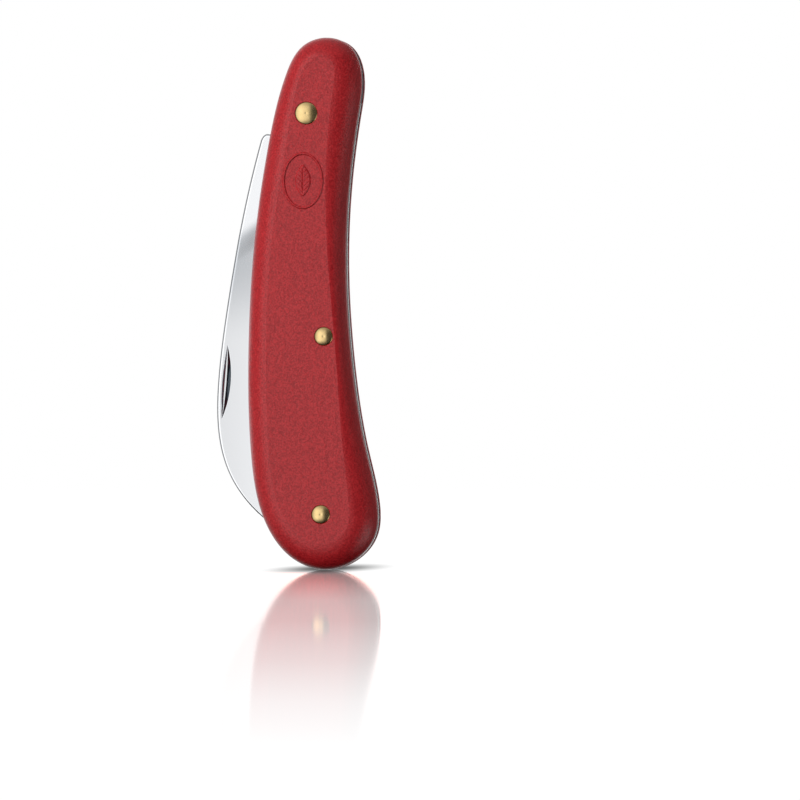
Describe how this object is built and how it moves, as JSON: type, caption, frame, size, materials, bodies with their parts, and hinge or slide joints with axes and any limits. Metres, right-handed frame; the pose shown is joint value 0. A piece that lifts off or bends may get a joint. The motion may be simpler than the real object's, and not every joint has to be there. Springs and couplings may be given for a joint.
{
  "type": "grafting knife",
  "caption": "Folding grafting knife: one drop-back blade with a nail nick, a back spring between steel liners, and rounded red scales fixed by domed brass rivets.",
  "frame": {"origin": "middle of the closed knife's footprint, at the lowest point of the butt", "axes": "+Z from the butt to the pivot end; +X to the hollow side, where the back spring shows; +Y out of the plain back scale, so the scale on the nail-nick side faces -Y"},
  "size_m": [0.0338, 0.0164, 0.11],
  "materials": {
    "scale_red": "moulded red nylon, fine spark-eroded grain",
    "liner_steel": "blanked steel sheet, satin edges",
    "spring_steel": "ground and polished along its back",
    "blade_steel": "fine ground flanks, polished",
    "rivet_brass": "turned and headed brass, polished domes",
    "washer_brass": "plain pressed brass"
  },
  "bodies": {
    "handle": {"front_scale": "scale_red", "back_scale": "scale_red", "front_liner": "liner_steel", "back_liner": "liner_steel", "back_spring": "spring_steel", "pivot_pin": "rivet_brass", "centre_pin": "rivet_brass", "butt_pin": "rivet_brass", "pivot_washer": "washer_brass", "centre_washer": "washer_brass", "butt_washer": "washer_brass"},
    "blade": {"blade": "blade_steel"}
  },
  "joints": [
    {"name": "blade_pivot", "type": "hinge", "parent": "handle", "child": "blade", "pos_m": [0.0027, 0, 0.0942], "axis": [0, 1, 0], "range_deg": [0, 180], "deforming": ["back_spring"]}
  ]
}
